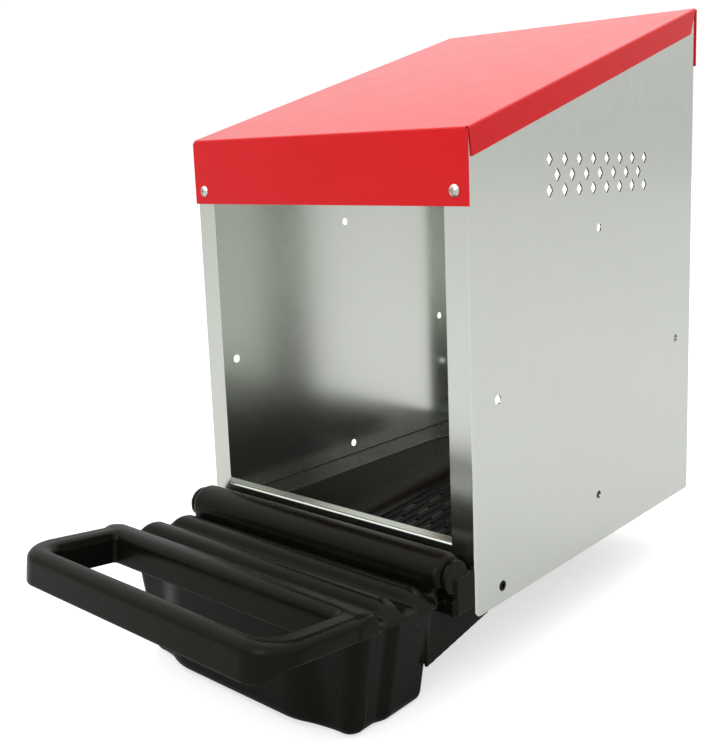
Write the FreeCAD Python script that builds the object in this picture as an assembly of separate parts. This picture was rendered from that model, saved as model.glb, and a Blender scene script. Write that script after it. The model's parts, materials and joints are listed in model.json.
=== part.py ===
import FreeCAD, Part
import math
import os

os.makedirs("parts", exist_ok=True)
V = FreeCAD.Vector

# Single-hole roll-away nest box: folded steel housing, sloped roof, moulded base tray with an egg
# basin in front, and a hinged ribbed cover that is also the hens' perch.
# Working frame, millimetres: X to the right, Y to the back, Z up. X = 0 is the centre plane,
# Y = 0 the front face of the posts and Z = 0 the lower edge of the side panels.

# Housing
BOX_WIDTH = 300.0
BOX_DEPTH = 370.0
SHEET = 1.2
BEND = 2.0
FIT_GAP = 0.1
HALF_WIDTH = BOX_WIDTH / 2
SIDE_DEPTH = BOX_DEPTH - SHEET
POST_WIDTH = 22.0
POST_BOTTOM = 37.0
REAR_FLANGE = 20.0
PANEL_CORNER = 5.0

# Roof: height of its outer surface above the front and rear edges
ROOF_SHEET = 1.0
ROOF_FRONT_HEIGHT = 362.4
ROOF_REAR_HEIGHT = 480.7
ROOF_FLANGE = 55.0
ROOF_SIDE_FLANGE = 22.0
ROOF_FRONT = -ROOF_SHEET - FIT_GAP
ROOF_REAR = BOX_DEPTH + ROOF_SHEET + FIT_GAP
ROOF_HALF = HALF_WIDTH + ROOF_SHEET + FIT_GAP
ROOF_SLOPE = (ROOF_REAR_HEIGHT - ROOF_FRONT_HEIGHT) / (ROOF_REAR - ROOF_FRONT)
ROOF_PLATE_HEIGHT = ROOF_SHEET * math.hypot(1, ROOF_SLOPE)
PANEL_TOP_GAP = ROOF_PLATE_HEIGHT + 1.3
ROOF_BEVEL_FRONT = 4.5
ROOF_BEVEL_REAR = 15.0
ROOF_CORNER_RELIEF = 0.5

# Back panel, its window and the flange at its foot
BACK_HALF = HALF_WIDTH - 1.0
BACK_CORNER = 3.0
WINDOW_HALF = 105.0
WINDOW_LOW = 34.0
WINDOW_HIGH = 420.0
WINDOW_CORNER = 5.0
SHELF_DEPTH = 18.0
SHELF_HALF = HALF_WIDTH - REAR_FLANGE - 3.0

# Holes in the side panels: (distance from the front, height, radius)
SIDE_HOLES = (
    (184.0, 281.0, 3.75),
    (184.0, 44.0, 3.75),
    (336.0, 162.0, 3.75),
    (32.0, 162.0, 3.75),
)
VENT_START = 106.4
VENT_PITCH = 22.8
VENT_ROWS = ((339.0, 8, 0.0), (326.8, 7, VENT_PITCH / 2), (314.8, 8, 0.0))
VENT_WIDTH = 9.6
VENT_HEIGHT = 11.2
VENT_CORNER = 0.5

# Fasteners
SCREW_X = 138.5
SCREW_FRONT_Z = 318.5
SCREW_REAR_Z = 437.0
SCREW_RADIUS = 2.3
SCREW_HOLE_RADIUS = 2.4
SCREW_LENGTH = 11.0
SCREW_HEAD_RADIUS = 4.7
SCREW_HEAD_HEIGHT = 2.8
SCREW_DOME_RADIUS = SCREW_HEAD_RADIUS * 1.35
SCREW_POINT_LENGTH = 2.5
SCREW_POINT_RADIUS = 0.6
RECESS_HALF_LENGTH = SCREW_HEAD_RADIUS / 2
RECESS_HALF_WIDTH = 0.6
RECESS_DEPTH = 1.6
NUT_HALF_WIDTH = 9.0
NUT_HALF_HEIGHT = 7.0
NUT_THICKNESS = 0.8
NUT_CORNER = 1.5
NUT_DOME = (5.0, 3.2, 1.4)
RIVET_RADIUS = 2.0
RIVET_HEAD_RADIUS = 4.0
RIVET_HEAD_HEIGHT = 1.1
RIVET_CROWN_RADIUS = 2.4
RIVET_TAIL_RADIUS = 3.0
RIVET_TAIL = 2.2
RIVET_HEIGHTS = (60.0, 200.0, 340.0)

# Wall fixing: four holes in the back panel, centred on the part's origin
WALL_CENTRE_Z = 250.0
WALL_SPACING_X = 250.0
WALL_SPACING_Z = 300.0
WALL_HOLE_RADIUS = 3.25

# Sill strip across the entrance
SILL_TOP = 53.4
SILL_HEIGHT = 10.0
SILL_DEPTH = 12.5
SILL_FRONT = SHEET + FIT_GAP

# Cover: its own frame has the hinge axis as origin, "reach" forward of it and "rise" above it
HINGE_Y = -19.0
HINGE_Z = 38.2
COVER_TILT = 6.75
WALL = 2.5
BARREL_RADIUS = 16.5
BARREL_HALF = 142.0
BARREL_END_ROUND = 7.0
COVER_HALF = 148.0
COVER_REACH = 180.0
CREST = -3.9
SKIRT = -18.5
SHOULDER = 16.0
RIDGE_FIRST = 30.5
RIDGE_PITCH = 31.75
RIDGE_COUNT = 3
RIDGE_TOP_HALF = 5.0
RIDGE_FOOT_HALF = 9.8
RIDGE_ROUND = 5.5
VALLEY_DEPTH = 9.5
SKIRT_START = 17.0
PLATE_START = 14.0
PLATE_REAR_STEP = 15.9
PLATE_END = 103.0
LOOP_START = RIDGE_FIRST + RIDGE_PITCH * (RIDGE_COUNT - 1)
LOOP_FRONT = 163.0
LOOP_HALF = 125.0
LOOP_CORNER = 13.0
LOOP_REAR_CORNER = 3.0
LOOP_ROUNDING = 8.0
COVER_CORNER = 30.0
LOOP_DEPTH = 26.0
LOOP_DROP_START = 160.0
NOSE_ROUND = 6.0
PLATE_LOW = SKIRT - 20.0
BARREL_SIDE_WALL = 3.0
BARREL_OPENING_FRONT = -12.9
BARREL_OPENING_TOP = -7.0
BOSS_RADIUS = 8.0
BOSS_INNER = 132.0
PIN_RADIUS = 4.0
PIN_CLEARANCE = 0.06
PIN_INNER = 133.0
PIN_OUTER = 145.5
PIN_CHAMFER = 0.5

# Base tray
TRAY_HALF = 147.5
TRAY_RIM = 32.0
TRAY_REAR = 366.0
TRAY_WALL = 3.0
RIM_RISE = -17.0
APRON_RISE = -22.5
APRON_INNER = 143.3
BASIN_TOP = (133.0, -108.0, -31.0, 14.0)
BASIN_FLOOR = (116.0, -103.0, -31.0, 12.0)
BASIN_TOP_Z = 34.0
BASIN_FLOOR_Z = -62.0
BASIN_REAR_CORNER = 5.0
BULGE_HALF = 70.0
BULGE_FRONT = -113.0
BULGE_FOOT = -96.0
BULGE_TAPER = 36.0
BULGE_FLOOR_Z = -60.5
BULGE_TOP_Z = 30.0
BULGE_CORNER = 4.0
BOWL_TOP = (117.0, -47.0, 335.0, 70.0)
BOWL_FLOOR = (78.0, -47.0, 290.0, 50.0)
FLOOR_FRONT_Z = -22.0
FLOOR_SLOPE = 0.08
FRONT_END = 1.5
TRAY_FOOT = SHEET + FIT_GAP
RIM_HALF = 139.0
RIM_REACH = 99.0
APRON_FRONT = -24.0
APRON_STEP = 4.0
CHEEK_INNER = 127.0
CHEEK_OUTER = 130.0
CHEEK_FRONT = (-35.5, -31.0)
CHEEK_REAR = (43.0, -17.5)
EAR_INNER = 142.6
EAR_OUTER = 147.0
EAR_RADIUS = 13.0
EAR_FRONT = -22.0
EAR_REAR = -0.6
EAR_LOW = 9.5
EAR_HIGH = 37.0
EAR_ROUND = 1.0
EAR_BLOCK_INNER = 143.9
EAR_BLOCK_OUTER = 149.4
EAR_STRUT = ((-23.0, HINGE_Z), (-23.0, EAR_LOW), (-3.0, EAR_LOW), (-5.0, HINGE_Z))
SOCKET_GAP = 0.8
STEP_WALL_HEIGHT = 14.0
SLAB_REAR = 19.0
SKIRT_CLEAR_REAR = -13.0
PEG_Y = 34.5
PEG_Z = 13.3
PEG_RADIUS = 4.1
PEG_HOLE_RADIUS = 4.25
PEG_INNER = 136.0
PEG_BOSS_RADIUS = 8.0
PEG_STAND_OUT = 0.3
PEG_DIMPLE_RADIUS = PEG_RADIUS * 0.55
PEG_DIMPLE_DEPTH = 1.0

# Mat on the nest floor
MAT_HALF = 74.0
MAT_FRONT = 62.0
MAT_REAR = 262.0
MAT_THICKNESS = 4.0
MAT_FRONT_CORNER = 14.0
MAT_REAR_CORNER = 45.0
SLOT_LENGTH = 20.0
SLOT_WIDTH = 4.0
SLOT_ROWS = 5
SLOT_SIDE_COUNT = 3
SLOT_PITCH_X = 18.0
SLOT_PITCH_Y = 30.0
SLOT_START = MAT_FRONT + 40.0

# Cutting tools run this far past the faces they cut
PAST = 1.0
FAR = BOX_WIDTH


def roof_height(y):
    """Height of the roof's outer surface at the given depth."""
    return ROOF_FRONT_HEIGHT + ROOF_SLOPE * (y - ROOF_FRONT)


def floor_height(y):
    """Height of the upper side of the sloping nest floor."""
    return FLOOR_FRONT_Z + FLOOR_SLOPE * (y - BOWL_FLOOR[1])


def rounded_wire(points, radii):
    """Closed wire through coplanar points, each corner rounded to its own radius."""
    starts, ends, arcs = [], [], []
    for index, corner in enumerate(points):
        radius = radii[index]
        if radius == 0:
            starts.append(corner)
            ends.append(corner)
            arcs.append(None)
            continue
        before = (points[index - 1] - corner).normalize()
        after = (points[(index + 1) % len(points)] - corner).normalize()
        half_angle = before.getAngle(after) / 2
        start = corner + before * (radius / math.tan(half_angle))
        end = corner + after * (radius / math.tan(half_angle))
        inward = (before + after).normalize()
        middle = corner + inward * (radius / math.sin(half_angle) - radius)
        starts.append(start)
        ends.append(end)
        arcs.append(Part.Arc(start, middle, end).toShape())
    edges = []
    for index, arc in enumerate(arcs):
        if arc:
            edges.append(arc)
        following = starts[(index + 1) % len(points)]
        if (ends[index] - following).Length > 1e-6:
            edges.append(Part.makeLine(ends[index], following))
    return Part.Wire(edges)


def prism(plane, outline, low, high, radii=0.0):
    """Rounded polygon in the plane XY, YZ or XZ, drawn out from low to high along the third axis."""
    place = {
        "XY": lambda a, b: V(a, b, low),
        "YZ": lambda a, b: V(low, a, b),
        "XZ": lambda a, b: V(a, low, b),
    }[plane]
    along = {"XY": V(0, 0, 1), "YZ": V(1, 0, 0), "XZ": V(0, 1, 0)}[plane]
    if not isinstance(radii, (tuple, list)):
        radii = [radii] * len(outline)
    wire = rounded_wire([place(a, b) for a, b in outline], radii)
    return Part.Face(wire).extrude(along * (high - low))


def block(x0, x1, y0, y1, z0, z1):
    """Box between two opposite corners."""
    return Part.makeBox(x1 - x0, y1 - y0, z1 - z0, V(x0, y0, z0))


def rod(radius, start, end):
    """Cylinder from one point to another."""
    return Part.makeCylinder(radius, (end - start).Length, start, end - start)


def mirrored(shape):
    """The same shape on the other side of the centre plane."""
    return shape.mirror(V(0, 0, 0), V(1, 0, 0))


def side_panel():
    """Right-hand side panel: wall, front post, rear flange, vents and fixing holes."""
    inner = HALF_WIDTH - SHEET
    section = [
        (HALF_WIDTH, 0), (HALF_WIDTH, SIDE_DEPTH), (HALF_WIDTH - REAR_FLANGE, SIDE_DEPTH),
        (HALF_WIDTH - REAR_FLANGE, SIDE_DEPTH - SHEET), (inner, SIDE_DEPTH - SHEET), (inner, SHEET),
        (HALF_WIDTH - POST_WIDTH, SHEET), (HALF_WIDTH - POST_WIDTH, 0),
    ]
    bends = [BEND, BEND, 0, 0, BEND - SHEET, BEND - SHEET, 0, 0]
    panel = prism("XY", section, 0, ROOF_REAR_HEIGHT, bends)
    outline = [
        (0, 0), (SIDE_DEPTH, 0), (SIDE_DEPTH, roof_height(SIDE_DEPTH) - PANEL_TOP_GAP),
        (0, roof_height(0) - PANEL_TOP_GAP),
    ]
    corners = [PANEL_CORNER, PANEL_CORNER, 0, 0]
    panel = panel.common(prism("YZ", outline, 0, BOX_WIDTH, corners))
    cuts = [block(0, inner, -SHEET, BEND + SHEET, -SHEET, POST_BOTTOM)]
    for y, z, radius in SIDE_HOLES + ((PEG_Y, PEG_Z, PEG_HOLE_RADIUS),):
        cuts.append(rod(radius, V(inner - SHEET, y, z), V(HALF_WIDTH + SHEET, y, z)))
    for z, count, offset in VENT_ROWS:
        for column in range(count):
            y = VENT_START + offset + column * VENT_PITCH
            diamond = [
                (y - VENT_WIDTH / 2, z), (y, z - VENT_HEIGHT / 2),
                (y + VENT_WIDTH / 2, z), (y, z + VENT_HEIGHT / 2),
            ]
            cuts.append(prism("YZ", diamond, inner - SHEET, HALF_WIDTH + SHEET, VENT_CORNER))
    front_hole = (V(SCREW_X, -SHEET, SCREW_FRONT_Z), V(SCREW_X, BEND + SHEET, SCREW_FRONT_Z))
    cuts.append(rod(SCREW_HOLE_RADIUS, *front_hole))
    rear_holes = [(SCREW_REAR_Z, SCREW_HOLE_RADIUS)] + [(z, RIVET_RADIUS) for z in RIVET_HEIGHTS]
    for z, radius in rear_holes:
        cuts.append(rod(radius, V(SCREW_X, SIDE_DEPTH - 2 * BEND, z), V(SCREW_X, BOX_DEPTH, z)))
    return panel.cut(cuts)


def back_panel():
    """Rear sheet with a large window, and a flange at its foot that carries the back of the tray."""
    top = roof_height(SIDE_DEPTH) - PANEL_TOP_GAP
    outline = [(-BACK_HALF, 0), (BACK_HALF, 0), (BACK_HALF, top), (-BACK_HALF, top)]
    panel = prism("XZ", outline, SIDE_DEPTH, BOX_DEPTH, [BACK_CORNER, BACK_CORNER, 0, 0])
    shelf = block(-SHELF_HALF, SHELF_HALF, SIDE_DEPTH - SHELF_DEPTH, SIDE_DEPTH, 0, SHEET)
    window = [
        (-WINDOW_HALF, WINDOW_LOW), (WINDOW_HALF, WINDOW_LOW),
        (WINDOW_HALF, WINDOW_HIGH), (-WINDOW_HALF, WINDOW_HIGH),
    ]
    places = []
    for x in (-WALL_SPACING_X / 2, WALL_SPACING_X / 2):
        for z in (WALL_CENTRE_Z - WALL_SPACING_Z / 2, WALL_CENTRE_Z + WALL_SPACING_Z / 2):
            places.append((x, z, WALL_HOLE_RADIUS))
    for x in (-SCREW_X, SCREW_X):
        places.append((x, SCREW_REAR_Z, SCREW_HOLE_RADIUS))
        places += [(x, z, RIVET_RADIUS) for z in RIVET_HEIGHTS]
    cuts = [
        rod(radius, V(x, SIDE_DEPTH - PAST, z), V(x, BOX_DEPTH + PAST, z)) for x, z, radius in places
    ]
    cuts.append(prism("XZ", window, SIDE_DEPTH - PAST, BOX_DEPTH + PAST, WINDOW_CORNER))
    return panel.fuse(shelf).cut(cuts).removeSplitter()


def front_sill():
    """Folded strip across the entrance, its ends welded behind the posts."""
    back = SILL_FRONT + SILL_DEPTH
    section = [
        (SILL_FRONT, SILL_TOP - SILL_HEIGHT), (SILL_FRONT + SHEET, SILL_TOP - SILL_HEIGHT),
        (SILL_FRONT + SHEET, SILL_TOP - SHEET), (back - SHEET, SILL_TOP - SHEET),
        (back - SHEET, SILL_TOP - SILL_HEIGHT / 2), (back, SILL_TOP - SILL_HEIGHT / 2),
        (back, SILL_TOP), (SILL_FRONT, SILL_TOP),
    ]
    half = HALF_WIDTH - SHEET - BEND / 2
    return prism("YZ", section, -half, half, [0, 0, BEND - SHEET, BEND - SHEET, 0, 0, BEND, BEND])


def roof():
    """Folded roof sheet: sloped top, front and rear flanges, side flanges with bevelled ends."""
    flat_half = ROOF_HALF - BEND
    front_inner = ROOF_FRONT + ROOF_SHEET
    rear_inner = ROOF_REAR - ROOF_SHEET
    front_low = ROOF_FRONT_HEIGHT - ROOF_FLANGE
    rear_low = ROOF_REAR_HEIGHT - ROOF_FLANGE
    profile = [
        (ROOF_FRONT, front_low), (ROOF_FRONT, ROOF_FRONT_HEIGHT), (ROOF_REAR, ROOF_REAR_HEIGHT),
        (ROOF_REAR, rear_low), (rear_inner, rear_low),
        (rear_inner, roof_height(rear_inner) - ROOF_PLATE_HEIGHT),
        (front_inner, roof_height(front_inner) - ROOF_PLATE_HEIGHT), (front_inner, front_low),
    ]
    inner_bend = BEND - ROOF_SHEET
    sheet = prism("YZ", profile, -flat_half, flat_half, [0, BEND, BEND, 0, 0, inner_bend, inner_bend, 0])
    front_skirt = block(-ROOF_HALF, ROOF_HALF, ROOF_FRONT, front_inner, front_low, ROOF_FRONT_HEIGHT - BEND)
    rear_skirt = block(-ROOF_HALF, ROOF_HALF, rear_inner, ROOF_REAR, rear_low, ROOF_REAR_HEIGHT - BEND)

    inner_x = ROOF_HALF - ROOF_SHEET
    start_z = roof_height(front_inner)
    corner_points = [
        (flat_half, 0), (ROOF_HALF, 0), (ROOF_HALF, -ROOF_SIDE_FLANGE), (inner_x, -ROOF_SIDE_FLANGE),
        (inner_x, -ROOF_PLATE_HEIGHT), (flat_half, -ROOF_PLATE_HEIGHT),
    ]
    wire = rounded_wire(
        [V(x, front_inner, start_z + z) for x, z in corner_points], [0, BEND, 0, 0, inner_bend, 0]
    )
    length = rear_inner - front_inner
    flange = Part.Face(wire).extrude(V(0, length, length * ROOF_SLOPE))
    low_front = roof_height(front_inner) - ROOF_SIDE_FLANGE
    low_rear = roof_height(rear_inner) - ROOF_SIDE_FLANGE
    bevel = [
        (front_inner + ROOF_CORNER_RELIEF, roof_height(front_inner) + PAST),
        (rear_inner - ROOF_CORNER_RELIEF, roof_height(rear_inner) + PAST),
        (rear_inner - ROOF_BEVEL_REAR, low_rear - ROOF_SIDE_FLANGE / 2),
        (front_inner + ROOF_BEVEL_FRONT, low_front - PAST),
    ]
    flange = flange.common(prism("YZ", bevel, 0, BOX_WIDTH))
    holes = []
    for x in (-SCREW_X, SCREW_X):
        front_start = V(x, ROOF_FRONT - PAST, SCREW_FRONT_Z)
        holes.append(rod(SCREW_HOLE_RADIUS, front_start, V(x, PAST, SCREW_FRONT_Z)))
        rear_end = V(x, ROOF_REAR + PAST, SCREW_REAR_Z)
        holes.append(rod(SCREW_HOLE_RADIUS, V(x, BOX_DEPTH - PAST, SCREW_REAR_Z), rear_end))
    folded = sheet.fuse([front_skirt, rear_skirt, flange, mirrored(flange)])
    return folded.cut(holes).removeSplitter()


def screw(x, seat_y, z, inward):
    """Pan-head self-tapping screw with a cross recess; inward is +1 or -1 along Y."""
    head = Part.makeSphere(SCREW_DOME_RADIUS, V(0, SCREW_DOME_RADIUS - SCREW_HEAD_HEIGHT, 0))
    head = head.common(rod(SCREW_HEAD_RADIUS, V(0, -SCREW_HEAD_HEIGHT, 0), V(0, 0, 0)))
    shank_end = SCREW_LENGTH - SCREW_POINT_LENGTH
    shank = rod(SCREW_RADIUS, V(0, 0, 0), V(0, shank_end, 0))
    point = Part.makeCone(
        SCREW_RADIUS, SCREW_POINT_RADIUS, SCREW_POINT_LENGTH, V(0, shank_end, 0), V(0, 1, 0)
    )
    arm = block(
        -RECESS_HALF_LENGTH, RECESS_HALF_LENGTH, -SCREW_HEAD_HEIGHT, -SCREW_HEAD_HEIGHT + RECESS_DEPTH,
        -RECESS_HALF_WIDTH, RECESS_HALF_WIDTH,
    )
    cross = arm.fuse(arm.rotated(V(0, 0, 0), V(0, 1, 0), 90))
    body = head.fuse([shank, point]).cut(cross).removeSplitter()
    if inward < 0:
        body = body.rotated(V(0, 0, 0), V(0, 0, 1), 180)
    return body.translated(V(x, seat_y, z))


def speed_nut(x, face_y, z, inward):
    """Pressed sheet nut behind a flange, domed around the screw."""
    outline = [
        (-NUT_HALF_WIDTH, -NUT_HALF_HEIGHT), (NUT_HALF_WIDTH, -NUT_HALF_HEIGHT),
        (NUT_HALF_WIDTH, NUT_HALF_HEIGHT), (-NUT_HALF_WIDTH, NUT_HALF_HEIGHT),
    ]
    plate = prism("XZ", outline, 0, NUT_THICKNESS, NUT_CORNER)
    dome = Part.makeCone(*NUT_DOME, V(0, NUT_THICKNESS, 0), V(0, 1, 0))
    hole = rod(SCREW_HOLE_RADIUS, V(0, -PAST, 0), V(0, NUT_THICKNESS + NUT_DOME[2] + PAST, 0))
    nut = plate.fuse(dome).cut(hole).removeSplitter()
    if inward < 0:
        nut = nut.rotated(V(0, 0, 0), V(0, 0, 1), 180)
    return nut.translated(V(x, face_y, z))


def back_rivets(side):
    """Blind rivets that join the back panel to one side panel's rear flange."""
    rivets = []
    x = side * SCREW_X
    flange_y = SIDE_DEPTH - SHEET
    for z in RIVET_HEIGHTS:
        seat = V(x, BOX_DEPTH, z)
        shank = rod(RIVET_RADIUS, V(x, flange_y - RIVET_TAIL / 2, z), seat)
        head = Part.makeCone(RIVET_HEAD_RADIUS, RIVET_CROWN_RADIUS, RIVET_HEAD_HEIGHT, seat, V(0, 1, 0))
        tail = rod(RIVET_TAIL_RADIUS, V(x, flange_y - RIVET_TAIL, z), V(x, flange_y, z))
        rivets.append(shank.fuse([head, tail]).removeSplitter())
    return Part.makeCompound(rivets)


def tub(top, floor, top_z, floor_z, inset=0.0):
    """Tapered tub between two rounded rectangles, each (half width, front, rear, corner radius)."""
    wires = []
    for half, front, rear, corner, level in (floor + (floor_z,), top + (top_z,)):
        x, y0, y1 = half - inset, front + inset, rear - inset
        points = [V(x, y0, level), V(x, y1, level), V(-x, y1, level), V(-x, y0, level)]
        front_corner, rear_corner = corner - inset, BASIN_REAR_CORNER - inset
        wires.append(rounded_wire(points, [front_corner, rear_corner, rear_corner, front_corner]))
    return Part.makeLoft(wires, True, True)


def bulge(inset):
    """Proud middle part of the basin's front wall, or its hollow when inset is the wall."""
    front, half = BULGE_FRONT + inset, BULGE_HALF - inset / 2
    foot_half = half + BULGE_TAPER
    outline = [(-foot_half, BULGE_FOOT), (-half, front), (half, front), (foot_half, BULGE_FOOT)]
    corners = [0, BULGE_CORNER, BULGE_CORNER, 0]
    return prism("XY", outline, BULGE_FLOOR_Z + inset, BULGE_TOP_Z + inset, corners)


def bowl(inset):
    """Nest bowl and egg ramp, open to the basin at the front; a negative inset gives the outer form."""
    wires = []
    for half, front, rear, corner in (BOWL_FLOOR, BOWL_TOP):
        x, y1 = half - inset, rear - inset
        if half == BOWL_FLOOR[0]:
            low, high = floor_height(front) + inset, floor_height(y1) + inset
        else:
            low, high = BASIN_TOP_Z, BASIN_TOP_Z
        points = [V(x, front, low), V(x, y1, high), V(-x, y1, high), V(-x, front, low)]
        wires.append(rounded_wire(points, [0, corner, corner, 0]))
    return Part.makeLoft(wires, True, True)


def tilted(shape):
    """Places a shape drawn in the cover's own frame into the working frame."""
    return shape.rotated(V(0, 0, 0), V(1, 0, 0), -COVER_TILT).translated(V(0, HINGE_Y, HINGE_Z))


def tray_shell():
    """Nest bowl, egg ramp and basin with the plates that join them, before the ears are added."""
    basin_outer = tub(BASIN_TOP, BASIN_FLOOR, BASIN_TOP_Z, BASIN_FLOOR_Z)
    basin_inner = tub(BASIN_TOP, BASIN_FLOOR, BASIN_TOP_Z + PAST, BASIN_FLOOR_Z + WALL, WALL)
    rim_slab = tilted(block(-RIM_HALF, RIM_HALF, -RIM_REACH, SLAB_REAR, RIM_RISE - WALL, RIM_RISE))
    rim_plate = block(-TRAY_HALF, TRAY_HALF, FRONT_END, TRAY_REAR, TRAY_RIM - TRAY_WALL, TRAY_RIM)
    apron_outline = [
        (APRON_FRONT, EAR_LOW), (APRON_STEP, EAR_LOW), (APRON_STEP, TRAY_FOOT),
        (TRAY_REAR, TRAY_FOOT), (TRAY_REAR, TRAY_RIM), (APRON_FRONT, TRAY_RIM),
    ]
    apron = prism("YZ", apron_outline, TRAY_HALF - TRAY_WALL, TRAY_HALF)
    cheek_outline = [CHEEK_FRONT, CHEEK_REAR, (CHEEK_REAR[0], TRAY_RIM), (CHEEK_FRONT[0], TRAY_RIM)]
    cheek = prism("YZ", cheek_outline, CHEEK_INNER, CHEEK_OUTER)
    rear_wall = block(-TRAY_HALF, TRAY_HALF, TRAY_REAR - TRAY_WALL, TRAY_REAR, TRAY_FOOT, TRAY_RIM)
    step_low = TRAY_RIM - STEP_WALL_HEIGHT
    step_wall = block(-TRAY_HALF, TRAY_HALF, FRONT_END, FRONT_END + TRAY_WALL, step_low, TRAY_RIM)
    web = block(CHEEK_INNER, TRAY_HALF, APRON_FRONT, APRON_FRONT + TRAY_WALL, EAR_LOW, TRAY_RIM)
    shell = basin_outer.fuse([
        bulge(0.0), bowl(-WALL), rim_slab, rim_plate, apron, mirrored(apron), cheek, mirrored(cheek),
        rear_wall, step_wall, web, mirrored(web),
    ])
    above_front = tilted(block(-FAR, FAR, -FAR, FAR, RIM_RISE, FAR))
    above_front = above_front.common(block(-FAR, FAR, -FAR, FRONT_END, -FAR, FAR))
    above_rear = block(-FAR, FAR, FRONT_END - PAST, TRAY_REAR + PAST, TRAY_RIM, FAR)
    under_skirt = tilted(block(APRON_INNER, FAR, -FAR, SKIRT_CLEAR_REAR, APRON_RISE, FAR))
    return shell.cut([
        basin_inner, bulge(WALL), bowl(0.0), above_front, above_rear, under_skirt, mirrored(under_skirt),
    ])


def tray_ear():
    """Right-hand hinge ear with its block, and the boss behind the peg."""
    block_outline = [(EAR_FRONT, EAR_LOW), (EAR_REAR, EAR_LOW), (EAR_REAR, EAR_HIGH), (EAR_FRONT, EAR_HIGH)]
    ear_block = prism("YZ", block_outline, EAR_BLOCK_INNER, EAR_BLOCK_OUTER, EAR_ROUND)
    socket = rod(
        BARREL_RADIUS + SOCKET_GAP, V(PIN_INNER, HINGE_Y, HINGE_Z), V(EAR_INNER, HINGE_Y, HINGE_Z)
    )
    disc = rod(EAR_RADIUS, V(EAR_INNER, HINGE_Y, HINGE_Z), V(EAR_OUTER, HINGE_Y, HINGE_Z))
    strut = prism("YZ", EAR_STRUT, EAR_INNER, EAR_OUTER)
    boss = rod(PEG_BOSS_RADIUS, V(PEG_INNER, PEG_Y, PEG_Z), V(TRAY_HALF, PEG_Y, PEG_Z))
    return ear_block.cut(socket).fuse([disc, strut, boss])


def base_tray():
    """Moulded tray: nest bowl, egg ramp, egg basin, aprons and hinge ears."""
    ear = tray_ear()
    shell = tray_shell().fuse([ear, mirrored(ear)])
    pin_hole = rod(PIN_RADIUS, V(PIN_INNER, HINGE_Y, HINGE_Z), V(PIN_OUTER, HINGE_Y, HINGE_Z))
    peg_hole = rod(PEG_RADIUS, V(RIM_REACH, PEG_Y, PEG_Z), V(HALF_WIDTH, PEG_Y, PEG_Z))
    return shell.cut([pin_hole, mirrored(pin_hole), peg_hole, mirrored(peg_hole)]).removeSplitter()


def hinge_pin():
    """Right-hand hinge pin, pressed into the tray's ear and turning in the cover."""
    pin = rod(PIN_RADIUS, V(PIN_INNER, HINGE_Y, HINGE_Z), V(PIN_OUTER, HINGE_Y, HINGE_Z))
    ends = [edge for edge in pin.Edges if edge.Curve.TypeId == "Part::GeomCircle"]
    return pin.makeChamfer(PIN_CHAMFER, ends)


def tray_peg():
    """Right-hand push-in peg that holds the tray to the side panel."""
    outer_end = HALF_WIDTH + PEG_STAND_OUT
    peg = rod(PEG_RADIUS, V(PEG_INNER + PEG_DIMPLE_DEPTH, PEG_Y, PEG_Z), V(outer_end, PEG_Y, PEG_Z))
    dimple_end = V(outer_end - PEG_DIMPLE_DEPTH, PEG_Y, PEG_Z)
    dimple = rod(PEG_DIMPLE_RADIUS, dimple_end, V(outer_end + PAST, PEG_Y, PEG_Z))
    return peg.cut(dimple)


def wave_outline(drop, front, low):
    """Side outline of the ridged plate; drop lowers it by the wall thickness for the inner form."""
    crest = CREST - drop
    valley = CREST - VALLEY_DEPTH - drop
    if drop:
        points = [(-PLATE_START, low), (-PLATE_START, valley)]
        radii = [0, 0]
    else:
        points = [
            (-PLATE_START, low), (-PLATE_START, CREST),
            (-PLATE_REAR_STEP, CREST), (-SKIRT_START, valley),
        ]
        radii = [0, 0, 0, 0]
    for index in range(RIDGE_COUNT):
        middle = RIDGE_FIRST + index * RIDGE_PITCH
        top = RIDGE_TOP_HALF - drop / 2
        foot = RIDGE_FOOT_HALF - drop / 2
        points += [(-(middle - foot), valley), (-(middle - top), crest)]
        radii += [RIDGE_ROUND, RIDGE_ROUND - drop]
        if index < RIDGE_COUNT - 1:
            points += [(-(middle + top), crest), (-(middle + foot), valley)]
            radii += [RIDGE_ROUND - drop, RIDGE_ROUND]
    points += [(-front, crest), (-front, low)]
    radii += [NOSE_ROUND - drop, 0]
    return points, radii


def ridged_plate(inset):
    """Ridged plate of the cover with rounded shoulders, or its hollow when inset is the wall."""
    outline, radii = wave_outline(inset, PLATE_END - inset, SKIRT - inset)
    half = COVER_HALF - inset
    plate = prism("YZ", outline, -half, half, radii)
    top = CREST - inset
    section = [(-half, PLATE_LOW), (half, PLATE_LOW), (half, top), (-half, top)]
    shoulder = SHOULDER - inset
    return plate.common(prism("XZ", section, -PLATE_END, 0, [0, 0, shoulder, shoulder]))


def loop_hole(grow):
    """Outline and corner radii of the hole in the perch loop, grown on all sides."""
    half, front, rear = LOOP_HALF + grow, LOOP_FRONT + grow, PLATE_END - grow
    front_corner, rear_corner = LOOP_CORNER + grow, LOOP_REAR_CORNER + grow
    outline = [(-half, -front), (half, -front), (half, -rear), (-half, -rear)]
    return outline, [front_corner, front_corner, rear_corner, rear_corner]


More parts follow.
